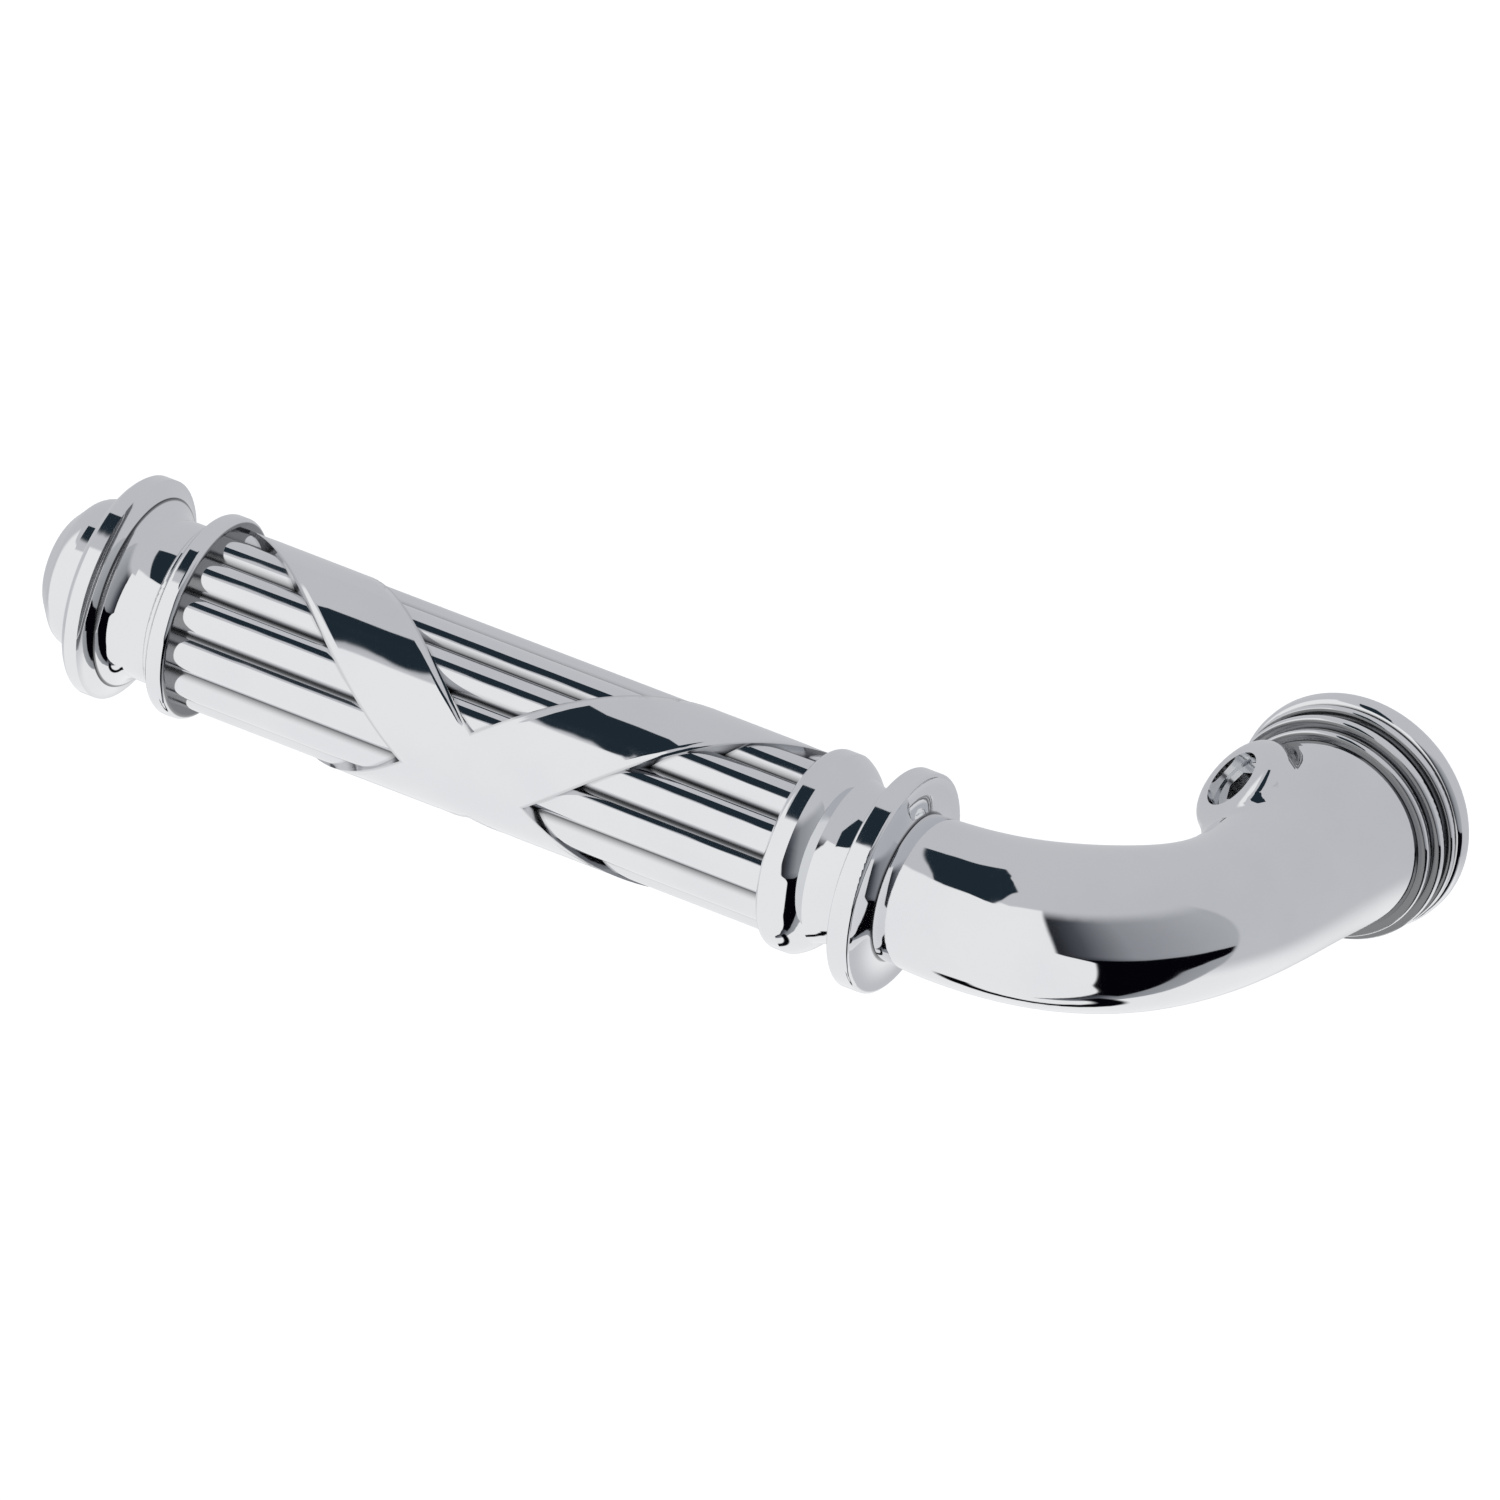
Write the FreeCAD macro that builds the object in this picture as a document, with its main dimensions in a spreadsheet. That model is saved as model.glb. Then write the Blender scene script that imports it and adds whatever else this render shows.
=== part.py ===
"""Chrome lever handle on its bearing ring, with a reeded grip held by a tie rod.

Frame, in millimetres: the spindle turns about the Y axis, the face that meets the
door furniture is the plane y = 0 with the door on the +Y side, the grip points
along -X and +Z is up. Threads are plain cylinders at their outside size.
"""
import FreeCAD, Part
import math
import os
import Sketcher

Vector = FreeCAD.Vector
Rotation = FreeCAD.Rotation
Placement = FreeCAD.Placement
Z_AXIS = Vector(0, 0, 1)

doc = FreeCAD.newDocument("lever_handle")
sheet = doc.addObject("Spreadsheet::Sheet", "dims")

DIMENSIONS = [
    # where the grip lies, and the bend that leads to it
    ("grip_offset", 40.65),
    ("bend_radius", 22.0),
    ("arm_radius_seat", 7.05),
    ("arm_radius_swell", 7.6),
    ("arm_radius_waist", 7.2),
    ("arm_radius_bend_end", 7.6),
    ("arm_radius_neck", 8.55),
    ("arm_neck_seat", 11.5),
    ("arm_radius_foot", 9.45),
    # bearing ring, which screws into the door furniture
    ("flange_radius", 11.64),
    ("flange_width", 2.4),
    ("rim_round", 0.9),
    ("boss_radius", 8.0),
    ("boss_length", 4.4),
    ("boss_chamfer", 0.5),
    ("bush_radius", 6.7),
    ("bush_flange_radius", 6.95),
    ("bush_flange_width", 0.6),
    ("running_gap", 0.05),
    ("face_gap", 0.15),
    # spindle sleeve and what keeps it in the bearing
    ("sleeve_radius", 5.9),
    ("sleeve_depth", 18.5),
    ("sleeve_tail", 7.0),
    ("square_size", 7.0),
    ("spring_inner", 6.0),
    ("spring_outer", 7.3),
    ("spring_gauge", 0.3),
    ("spring_rise", 0.35),
    ("washer_width", 0.4),
    ("snap_width", 0.7),
    ("snap_groove_depth", 0.55),
    ("snap_outer", 6.55),
    ("snap_opening", 36.0),
    # stop that limits the turn
    ("turn_limit", 45.0),
    ("stop_radius", 8.1),
    ("stop_pin_radius", 0.7),
    ("stop_slot_depth", 1.25),
    ("stop_pin_length", 4.6),
    ("stop_clearance", 0.1),
    # rings stacked on the foot of the neck
    ("foot_radius", 9.2),
    ("step_ring_radius", 11.3),
    ("step_ring_width", 1.0),
    ("groove_ring_radius", 10.5),
    ("groove_ring_width", 0.8),
    ("bead_ring_radius", 11.1),
    ("bead_ring_width", 1.2),
    ("neck_ring_radius", 10.3),
    ("neck_ring_width", 1.2),
    ("stack_round_share", 0.4),
    # set screw and the boss it is let into
    ("screw_height", 10.0),
    ("screw_bearing", 45.0),
    ("screw_tilt", 25.0),
    ("screw_radius", 2.95),
    ("screw_length", 5.8),
    ("screw_start", 3.75),
    ("screw_hex", 3.0),
    ("screw_hex_depth", 2.6),
    ("screw_point", 1.1),
    ("screw_chamfer", 0.3),
    ("lug_radius", 5.35),
    ("lug_reach", 10.7),
    ("lug_round", 1.8),
    ("lug_foot_round", 2.4),
    # turned pieces on the grip line
    ("ring_seat", 25.4),
    ("ring_width", 3.4),
    ("ring_radius", 10.6),
    ("ring_band", 1.6),
    ("ring_edge", 0.35),
    ("ring_cove", 6.0),
    ("ring_foot_radius", 7.65),
    ("spigot_radius", 4.6),
    ("spigot_length", 7.6),
    ("bell_width", 7.6),
    ("bell_radius", 9.64),
    ("bell_rim_width", 2.2),
    ("bell_waist_radius", 7.4),
    ("bell_cove", 7.0),
    ("bell_shoulder", 4.5),
    ("bell_swell_start", 3.4),
    ("bell_swell_radius", 7.95),
    ("bell_round", 0.9),
    ("grip_length", 62.3),
    ("grip_radius_inner_end", 8.72),
    ("grip_radius_outer_end", 8.86),
    ("grip_bore", 6.2),
    ("end_ring_width", 2.05),
    ("end_ring_radius", 9.84),
    ("end_ring_round", 0.6),
    ("end_bead_width", 0.82),
    ("end_bead_radius", 8.7),
    ("end_bead_round", 0.35),
    ("spool_width", 4.86),
    ("spool_radius", 7.65),
    ("spool_flare_radius", 9.2),
    ("spool_barrel", 14.0),
    ("spool_barrel_end", 3.0),
    ("spool_barrel_end_radius", 7.75),
    ("spool_cove", 2.6),
    ("spool_web", 1.0),
    ("spool_pocket", 6.0),
    ("disc_width", 3.14),
    ("disc_radius", 10.74),
    ("disc_band", 1.3),
    ("disc_cove", 3.0),
    ("disc_crown", 2.0),
    ("disc_face_radius", 9.34),
    ("dome_length", 5.45),
    ("dome_radius", 7.3),
    ("dome_wall", 3.0),
    ("dome_flat", 4.4),
    ("dome_shoulder", 2.4),
    ("dome_crown", 2.4),
    # tie rod and what it clamps with
    ("rod_radius", 3.0),
    ("rod_start", 16.0),
    ("rod_end", 112.2),
    ("rod_end_gap", 0.3),
    ("centring_width", 10.0),
    ("nut_hex", 10.0),
    ("nut_width", 2.9),
    ("lock_washer_width", 0.8),
    ("lock_washer_radius", 5.0),
    ("lock_washer_gap", 10.0),
    ("dowel_radius", 0.8),
    ("collar_dowel_offset", 5.85),
    ("collar_dowel_depth", 3.0),
    ("grip_dowel_offset", 7.1),
    ("grip_dowel_depth", 2.0),
    ("grip_dowel_radius", 0.6),
    # reeds of the grip and the two smooth ribbons that wind across them
    ("reed_count", 12),
    ("reed_radius", 2.0),
    ("reed_crest_radius", 8.55),
    ("ribbon_pitch", 67.7),
    ("ribbon_half_width", 6.5),
    ("ribbon_crossing", 31.0),
    ("ribbon_crossing_turn", -100.8),
    # how far a cutter stands past what it cuts
    ("cut_over", 1.0),
]

for row, (alias, value) in enumerate(DIMENSIONS, start=1):
    sheet.set(f"A{row}", alias)
    sheet.set(f"B{row}", str(value))
    sheet.setAlias(f"B{row}", alias)
doc.recompute()


def size(expression):
    """The present value of an expression on the sheet's dimensions."""
    value = sheet.evalExpression(expression.replace("dims.", ""))
    return float(getattr(value, "Value", value))


# ---------------------------------------------------------------- sketch helpers
def origin_plane(body, role):
    """One of the body's own three base planes."""
    return [plane for plane in body.Origin.OriginFeatures if plane.Role == role][0]


def sketch_on(body, name, role="XY_Plane"):
    """A new sketch lying on one of the body's own base planes."""
    sketch = body.newObject("Sketcher::SketchObject", name)
    sketch.AttachmentSupport = [(origin_plane(body, role), "")]
    sketch.MapMode = "FlatFace"
    return sketch


def arc_between(start, end, radius):
    """Arc from start to end; a positive radius bulges to the left of the chord."""
    chord = end - start
    left = Vector(-chord.y, chord.x, 0).normalize()
    drop = math.sqrt(max(radius * radius - chord.Length ** 2 / 4, 0.0))
    centre = (start + end) * 0.5 - left * math.copysign(drop, radius)
    first, last = (end, start) if radius > 0 else (start, end)
    first_angle = math.atan2(first.y - centre.y, first.x - centre.x)
    last_angle = math.atan2(last.y - centre.y, last.x - centre.x)
    if last_angle < first_angle:
        last_angle += 2 * math.pi
    return Part.ArcOfCircle(Part.Circle(centre, Z_AXIS, abs(radius)), first_angle, last_angle)


def draw_outline(sketch, corners):
    """Closed outline; each corner is (x, y) or (x, y, radius of the edge leaving it)."""
    points = [Vector(size(corner[0]), size(corner[1]), 0) for corner in corners]
    ends = []
    for index, corner in enumerate(corners):
        start = points[index]
        end = points[(index + 1) % len(points)]
        if len(corner) == 3:
            radius = size(corner[2])
            edge = sketch.addGeometry(arc_between(start, end, radius), False)
            ends.append((edge, 2, 1) if radius > 0 else (edge, 1, 2))
        else:
            edge = sketch.addGeometry(Part.LineSegment(start, end), False)
            ends.append((edge, 1, 2))
    for index, corner in enumerate(corners):
        edge, first, last = ends[index]
        following, next_first, _ = ends[(index + 1) % len(corners)]
        sketch.addConstraint(Sketcher.Constraint("Coincident", edge, last, following, next_first))
        if len(corner) == 3:
            radius = abs(size(corner[2]))
            number = sketch.addConstraint(Sketcher.Constraint("Radius", edge, radius))
            sketch.setExpression(f"Constraints[{number}]", f"abs({corner[2]})")
        for kind, expression in (("DistanceX", corner[0]), ("DistanceY", corner[1])):
            number = sketch.addConstraint(
                Sketcher.Constraint(kind, -1, 1, edge, first, size(expression)))
            sketch.setExpression(f"Constraints[{number}]", expression)


def draw_circle(sketch, radius, x="0", y="0"):
    """Circle with its centre and radius held by expressions."""
    centre = Vector(size(x), size(y), 0)
    edge = sketch.addGeometry(Part.Circle(centre, Z_AXIS, size(radius)), False)
    number = sketch.addConstraint(Sketcher.Constraint("Radius", edge, size(radius)))
    sketch.setExpression(f"Constraints[{number}]", radius)
    for kind, expression in (("DistanceX", x), ("DistanceY", y)):
        number = sketch.addConstraint(
            Sketcher.Constraint(kind, -1, 1, edge, 3, size(expression)))
        sketch.setExpression(f"Constraints[{number}]", expression)


def draw_polygon(sketch, sides, across_flats, first_corner=0.0):
    """Regular polygon about the sketch's origin, its size set by an expression."""
    step = 360.0 / sides
    reach = f"{across_flats} / (2 * cos({step / 2}))"
    corners = []
    for index in range(sides):
        angle = first_corner + index * step
        corners.append((f"{reach} * cos({angle})", f"{reach} * sin({angle})"))
    draw_outline(sketch, corners)


def offset_sketch(sketch, base, axis, angle):
    """Move a sketch off its plane: base holds three expressions, angle is another."""
    sketch.AttachmentOffset = Placement(Vector(0, 0, 0), Rotation(axis, size(angle)))
    sketch.setExpression("AttachmentOffset.Rotation.Angle", angle)
    for letter, expression in zip("xyz", base):
        sketch.setExpression(f"AttachmentOffset.Base.{letter}", expression)


# ---------------------------------------------------------------- body helpers
def screw_frame():
    """Frame on the spindle axis whose +Z runs out along the set screw."""
    upright = Rotation(Vector(0, 1, 0), -size("dims.screw_bearing"))
    lean = Rotation(Vector(1, 0, 0), size("dims.screw_tilt"))
    return Placement(Vector(0, -size("dims.screw_height"), 0), upright.multiply(lean))


def place_on_line(piece, line, seat):
    """Put a piece on the hub line, the grip line or the set screw's line.

    Local X runs outwards along the line: to the user, to the grip's tip or out of
    the screw's hole.
    """
    if line == "screw":
        piece.Placement = screw_frame().multiply(
            Placement(Vector(0, 0, 0), Rotation(Vector(0, 1, 0), -90)))
        return
    turn = -90 if line == "hub" else 180
    piece.Placement = Placement(Vector(0, 0, 0), Rotation(Z_AXIS, turn))
    if line == "hub":
        piece.setExpression("Placement.Base.y", f"-({seat})")
    else:
        piece.setExpression("Placement.Base.x", f"-({seat})")
        piece.setExpression("Placement.Base.y", "-dims.grip_offset")


def revolve(body, sketch, kind="PartDesign::Revolution", angle="360", midplane=False):
    """Turn a sketch about the body's own X axis."""
    feature = body.newObject(kind, f"{body.Name}_{kind.split('::')[1]}")
    feature.Profile = sketch
    feature.ReferenceAxis = (sketch, ["H_Axis"])
    feature.Midplane = midplane
    feature.setExpression("Angle", angle)
    doc.recompute()
    return feature


def turned_piece(label, line, seat, outline, angle="360"):
    """A lathe-turned piece: its half section revolved about its own axis."""
    body = doc.addObject("PartDesign::Body", label)
    body.Label = label
    sketch = sketch_on(body, f"{label}_section")
    draw_outline(sketch, outline)
    revolve(body, sketch, angle=angle)
    place_on_line(body, line, seat)
    return body


LEAST_CUT = 0.001


def remove_with(feature):
    """Recompute a cutting feature and make sure it takes material away."""
    before = feature.BaseFeature.Shape.Volume
    doc.recompute()
    if feature.Shape.Volume >= before - LEAST_CUT:
        raise RuntimeError(f"{feature.Name} cuts nothing")
    return feature


def rim_edges(shape, centre, radius):
    """Names of the circular edges with one centre and radius."""
    names = []
    for number, edge in enumerate(shape.Edges, start=1):
        if not isinstance(edge.Curve, Part.Circle):
            continue
        off_centre = (edge.Curve.Center - centre).Length
        if off_centre < 0.01 and abs(edge.Curve.Radius - radius) < 0.01:
            names.append(f"Edge{number}")
    return names


def boss_foot_edges(shape, radius):
    """Names of the edges where a round boss of one radius runs into a curved surface."""
    names = []
    for number, edge in enumerate(shape.Edges, start=1):
        sides = [face for face in shape.ancestorsOfType(edge, Part.Face)
                 if isinstance(face.Surface, Part.Cylinder) and abs(face.Surface.Radius - radius) < 0.01]
        if len(sides) == 1 and not isinstance(edge.Curve, Part.Circle):
            names.append(f"Edge{number}")
    return names


def round_edges(body, names, radius):
    """Round some edges of the body's last feature."""
    rounded = body.Tip
    rounding = body.newObject("PartDesign::Fillet", f"{body.Name}_rounding")
    rounding.Base = (rounded, names)
    rounding.setExpression("Radius", radius)
    doc.recompute()
    return rounding


def round_rim(body, along, rim_radius, radius):
    """Round the rim of a turned piece at x = along, in the body's own frame."""
    names = rim_edges(body.Tip.Shape, Vector(size(along), 0, 0), size(rim_radius))
    return round_edges(body, names, radius)


def pocket(body, sketch, depth, reverse=False):
    """Cut a sketch into the body by a depth given as an expression."""
    feature = body.newObject("PartDesign::Pocket", f"{sketch.Name}_pocket")
    feature.Profile = sketch
    feature.setExpression("Length", depth)
    feature.Reversed = reverse
    return remove_with(feature)


def pad(body, sketch, length, reverse=False):
    """Raise a sketch by a length given as an expression."""
    feature = body.newObject("PartDesign::Pad", f"{sketch.Name}_pad")
    feature.Profile = sketch
    feature.setExpression("Length", length)
    feature.Reversed = reverse
    doc.recompute()
    return feature


def drill_along(body, name, start, radius, depth, across=("0", "0")):
    """Round hole along the body's X axis, from x = start for a depth."""
    sketch = sketch_on(body, name, "YZ_Plane")
    sketch.setExpression("AttachmentOffset.Base.z", start)
    draw_circle(sketch, radius, across[0], across[1])
    return pocket(body, sketch, depth, reverse=True)


def rounded_ring(width, radius, bore, rounding="dims.rim_round"):
    """Half section of a ring whose two outer corners are rounded."""
    return [
        ("0", bore),
        ("0", f"{radius} - {rounding}", rounding),
        (rounding, radius),
        (f"{width} - {rounding}", radius, rounding),
        (width, f"{radius} - {rounding}"),
        (width, bore),
    ]


# ---------------------------------------------------------------- bearing ring
base_ring = turned_piece("base_ring", "hub", "0", [
    ("-dims.boss_length", "dims.bush_radius"),
    ("-dims.boss_length", "dims.boss_radius - dims.boss_chamfer"),
    ("-dims.boss_length + dims.boss_chamfer", "dims.boss_radius"),
    ("0", "dims.boss_radius"),
    ("0", "dims.flange_radius - dims.rim_round", "dims.rim_round"),
    ("dims.rim_round", "dims.flange_radius"),
    ("dims.flange_width - dims.rim_round", "dims.flange_radius", "dims.rim_round"),
    ("dims.flange_width", "dims.flange_radius - dims.rim_round"),
    ("dims.flange_width", "dims.bush_flange_radius"),
    ("dims.flange_width - dims.bush_flange_width", "dims.bush_flange_radius"),
    ("dims.flange_width - dims.bush_flange_width", "dims.bush_radius"),
])

# the stop pin travels in this part-circle slot in the ring's front face
SLOT_INNER = "dims.stop_radius - dims.stop_pin_radius - dims.stop_clearance"
SLOT_OUTER = "dims.stop_radius + dims.stop_pin_radius + dims.stop_clearance"
SLOT_END = "asin((dims.stop_pin_radius + dims.stop_clearance) / dims.stop_radius)"
SLOT_SWEEP = f"2 * (dims.turn_limit * 1 deg + {SLOT_END})"
slot_section = sketch_on(base_ring, "stop_slot_section")
draw_outline(slot_section, [
    ("dims.flange_width - dims.stop_slot_depth", SLOT_INNER),
    ("dims.flange_width - dims.stop_slot_depth", SLOT_OUTER),
    ("dims.flange_width + dims.cut_over", SLOT_OUTER),
    ("dims.flange_width + dims.cut_over", SLOT_INNER),
])
remove_with(revolve(base_ring, slot_section, "PartDesign::Groove", SLOT_SWEEP, midplane=True))

turned_piece("bearing_bush", "hub", "0", [
    ("-dims.boss_length", "dims.sleeve_radius + dims.running_gap"),
    ("-dims.boss_length", "dims.bush_radius"),
    ("dims.flange_width - dims.bush_flange_width", "dims.bush_radius"),
    ("dims.flange_width - dims.bush_flange_width", "dims.bush_flange_radius"),
    ("dims.flange_width + dims.face_gap - dims.running_gap", "dims.bush_flange_radius"),
    ("dims.flange_width + dims.face_gap - dims.running_gap", "dims.sleeve_radius + dims.running_gap"),
])

# ---------------------------------------------------------------- neck and bend
def screw_sketch(body, name):
    """Sketch across the set screw's line, starting on the spindle axis."""
    sketch = sketch_on(body, name)
    sketch.AttachmentOffset = body.Placement.inverse().multiply(screw_frame())
    return sketch


FOOT = "(dims.flange_width + dims.face_gap)"
STACK = ["step_ring", "groove_ring", "bead_ring", "neck_ring"]
STACK_TOP = FOOT + "".join(f" + dims.{ring}_width" for ring in STACK)

elbow_neck = doc.addObject("PartDesign::Body", "elbow_neck")
elbow_neck.Label = "elbow_neck"


def arm_section(name, radius, along_y, along_x, angle):
    """Round section of the arm, across the bend's path."""
    sketch = sketch_on(elbow_neck, name, "YZ_Plane")
    offset_sketch(sketch, (along_y, "0", along_x), Vector(0, 1, 0), angle)
    draw_circle(sketch, radius)
    return sketch


def bend_section(name, radius, angle):
    """Section part of the way round the bend, which starts on the grip line."""
    along_y = f"-dims.grip_offset + dims.bend_radius * (1 - cos({angle}))"
    along_x = f"-dims.bend_radius + dims.bend_radius * sin({angle})"
    return arm_section(name, radius, along_y, along_x, angle)


arm_sections = [
    arm_section("arm_at_seat", "dims.arm_radius_seat", "-dims.grip_offset", "-dims.ring_seat", "0"),
    bend_section("arm_at_3", "(dims.arm_radius_seat + dims.arm_radius_swell) / 2", "3"),
    bend_section("arm_at_22", "dims.arm_radius_swell", "22"),
    bend_section("arm_at_45", "dims.arm_radius_swell", "45"),
    bend_section("arm_at_68", "dims.arm_radius_waist", "68"),
    bend_section("arm_at_90", "dims.arm_radius_bend_end", "90"),
    arm_section("arm_at_neck", "dims.arm_radius_neck", "-dims.arm_neck_seat", "0", "90"),
    arm_section("arm_at_foot", "dims.arm_radius_foot", f"-({STACK_TOP})", "0", "90"),
]
arm = elbow_neck.newObject("PartDesign::AdditiveLoft", "arm")
arm.Profile = arm_sections[0]
arm.Sections = arm_sections[1:]
arm.Ruled = False
doc.recompute()

foot_outline = sketch_on(elbow_neck, "foot_outline", "XZ_Plane")
foot_outline.setExpression("AttachmentOffset.Base.z", STACK_TOP)
draw_circle(foot_outline, "dims.foot_radius")
pad(elbow_neck, foot_outline, f"{STACK_TOP} - {FOOT}", reverse=True)

spigot_outline = sketch_on(elbow_neck, "spigot_outline", "YZ_Plane")
offset_sketch(spigot_outline, ("-dims.grip_offset", "0", "-dims.ring_seat"), Z_AXIS, "0")
draw_circle(spigot_outline, "dims.spigot_radius")
pad(elbow_neck, spigot_outline, "dims.spigot_length", reverse=True)

lug_outline = screw_sketch(elbow_neck, "lug_outline")
draw_circle(lug_outline, "dims.lug_radius")
lug = pad(elbow_neck, lug_outline, "dims.lug_reach")
lug_end = screw_frame().multVec(Vector(0, 0, size("dims.lug_reach")))
round_edges(elbow_neck, rim_edges(lug.Shape, lug_end, size("dims.lug_radius")), "dims.lug_round")
# the lug runs into the neck with a cast fillet
round_edges(elbow_neck, boss_foot_edges(elbow_neck.Tip.Shape, size("dims.lug_radius")),
            "dims.lug_foot_round")

sleeve_hole = sketch_on(elbow_neck, "sleeve_hole", "XZ_Plane")
sleeve_hole.setExpression("AttachmentOffset.Base.z", FOOT)
draw_circle(sleeve_hole, "dims.sleeve_radius")
pocket(elbow_neck, sleeve_hole, f"dims.sleeve_depth - {FOOT}", reverse=True)

screw_hole = screw_sketch(elbow_neck, "screw_hole")
draw_circle(screw_hole, "dims.screw_radius + dims.running_gap")
pocket(elbow_neck, screw_hole, "dims.lug_reach + dims.cut_over", reverse=True)

rod_hole = sketch_on(elbow_neck, "rod_hole", "YZ_Plane")
offset_sketch(rod_hole, ("-dims.grip_offset", "0", "-dims.ring_seat - dims.spigot_length"),
              Z_AXIS, "0")
draw_circle(rod_hole, "dims.rod_radius")
pocket(elbow_neck, rod_hole, "dims.ring_seat + dims.spigot_length - dims.rod_start", reverse=True)

STOP_START = "(dims.flange_width - dims.stop_slot_depth + dims.stop_clearance)"
stop_hole = sketch_on(elbow_neck, "stop_hole", "XZ_Plane")
stop_hole.setExpression("AttachmentOffset.Base.z", FOOT)
draw_circle(stop_hole, "dims.stop_pin_radius", "dims.stop_radius")
pocket(elbow_neck, stop_hole, f"{STOP_START} + dims.stop_pin_length - {FOOT}", reverse=True)

dowel_hole = sketch_on(elbow_neck, "dowel_hole", "YZ_Plane")
offset_sketch(dowel_hole, ("-dims.grip_offset", "dims.collar_dowel_offset", "-dims.ring_seat"),
              Z_AXIS, "0")
draw_circle(dowel_hole, "dims.dowel_radius")
pocket(elbow_neck, dowel_hole, "dims.collar_dowel_depth", reverse=True)

# ---------------------------------------------------------------- rings on the neck's foot
seat = FOOT
for ring in STACK:
    width = f"dims.{ring}_width"
    rounding = f"({width} * dims.stack_round_share)"
    turned_piece(ring, "hub", seat,
                 rounded_ring(width, f"dims.{ring}_radius", "dims.foot_radius", rounding))
    seat = f"{seat} + {width}"

# ---------------------------------------------------------------- spindle sleeve
SNAP_FACE = ("dims.boss_length + 2 * dims.running_gap + dims.spring_rise"
             " + dims.spring_gauge + dims.washer_width")
SNAP_BACK = f"({SNAP_FACE} + dims.snap_width)"
GROOVE_RADIUS = "dims.sleeve_radius - dims.snap_groove_depth"
spindle_sleeve = turned_piece("spindle_sleeve", "hub", "0", [
    ("-dims.sleeve_tail", "0"),
    ("-dims.sleeve_tail", "dims.sleeve_radius"),
    (f"-{SNAP_BACK}", "dims.sleeve_radius"),
    (f"-{SNAP_BACK}", GROOVE_RADIUS),
    (f"-({SNAP_FACE})", GROOVE_RADIUS),
    (f"-({SNAP_FACE})", "dims.sleeve_radius"),
    ("dims.sleeve_depth", "dims.sleeve_radius"),
    ("dims.sleeve_depth", "0"),
])
square = sketch_on(spindle_sleeve, "spindle_square", "YZ_Plane")
square.setExpression("AttachmentOffset.Base.z", "dims.sleeve_depth")
draw_polygon(square, 4, "dims.square_size")
pocket(spindle_sleeve, square, "dims.sleeve_depth + dims.sleeve_tail")
sleeve_screw_hole = screw_sketch(spindle_sleeve, "sleeve_screw_hole")
draw_circle(sleeve_screw_hole, "dims.screw_radius + dims.running_gap")
pocket(spindle_sleeve, sleeve_screw_hole, "2 * dims.sleeve_radius", reverse=True)

turned_piece("disc_spring", "hub", "-dims.boss_length - dims.running_gap", [
    ("0", "dims.spring_outer"),
    ("-dims.spring_gauge", "dims.spring_outer"),
    ("-dims.spring_gauge - dims.spring_rise", "dims.spring_inner"),
    ("-dims.spring_rise", "dims.spring_inner"),
])
turned_piece("retaining_washer", "hub", f"-({SNAP_FACE})", [
    ("0", "dims.sleeve_radius + dims.running_gap"),
    ("0", "dims.snap_outer"),
    ("dims.washer_width", "dims.snap_outer"),
    ("dims.washer_width", "dims.sleeve_radius + dims.running_gap"),
])
turned_piece("snap_ring", "hub", f"-{SNAP_BACK}", [
    ("0", GROOVE_RADIUS),
    ("0", "dims.snap_outer"),
    ("dims.snap_width", "dims.snap_outer"),
    ("dims.snap_width", GROOVE_RADIUS),
], angle="360 - dims.snap_opening")

# ---------------------------------------------------------------- set screw
SCREW_END = "(dims.screw_start + dims.screw_length)"
set_screw = turned_piece("set_screw", "screw", "0", [
    ("dims.screw_start", "0"),
    ("dims.screw_start + dims.screw_point", "dims.screw_radius"),
    (f"{SCREW_END} - dims.screw_chamfer", "dims.screw_radius"),
    (SCREW_END, "dims.screw_radius - dims.screw_chamfer"),
    (SCREW_END, "0"),
])
hex_socket = sketch_on(set_screw, "hex_socket", "YZ_Plane")
hex_socket.setExpression("AttachmentOffset.Base.z", SCREW_END)
draw_polygon(hex_socket, 6, "dims.screw_hex")
pocket(set_screw, hex_socket, "dims.screw_hex_depth")

# ---------------------------------------------------------------- plain pins
TO_USER = Rotation(Vector(1, 0, 0), 90)
TO_TIP = Rotation(Vector(0, 1, 0), -90)


def straight_pin(label, radius, length, start, direction):
    """A ground pin from its start point along a direction."""
    pin = doc.addObject("Part::Cylinder", label)
    pin.Label = label
    pin.setExpression("Radius", radius)
    pin.setExpression("Height", length)
    pin.Placement = Placement(Vector(0, 0, 0), direction)
    for letter, expression in zip("xyz", start):
        pin.setExpression(f"Placement.Base.{letter}", expression)
    return pin


straight_pin("stop_pin", "dims.stop_pin_radius", "dims.stop_pin_length",
             ("dims.stop_radius", f"-{STOP_START}", "0"), TO_USER)
straight_pin("collar_dowel", "dims.dowel_radius", "dims.collar_dowel_depth * 2 + dims.ring_width",
             ("-dims.ring_seat + dims.collar_dowel_depth", "-dims.grip_offset",
              "dims.collar_dowel_offset"), TO_TIP)
GRIP_SEAT = "(dims.ring_seat + dims.ring_width + dims.bell_width)"
straight_pin("grip_dowel", "dims.grip_dowel_radius", "dims.grip_dowel_depth * 2",
             (f"-{GRIP_SEAT} + dims.grip_dowel_depth", "-dims.grip_offset",
              "dims.grip_dowel_offset"), TO_TIP)
straight_pin("tie_rod", "dims.rod_radius", "dims.rod_end - dims.rod_start",
             ("-dims.rod_start", "-dims.grip_offset", "0"), TO_TIP)

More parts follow.
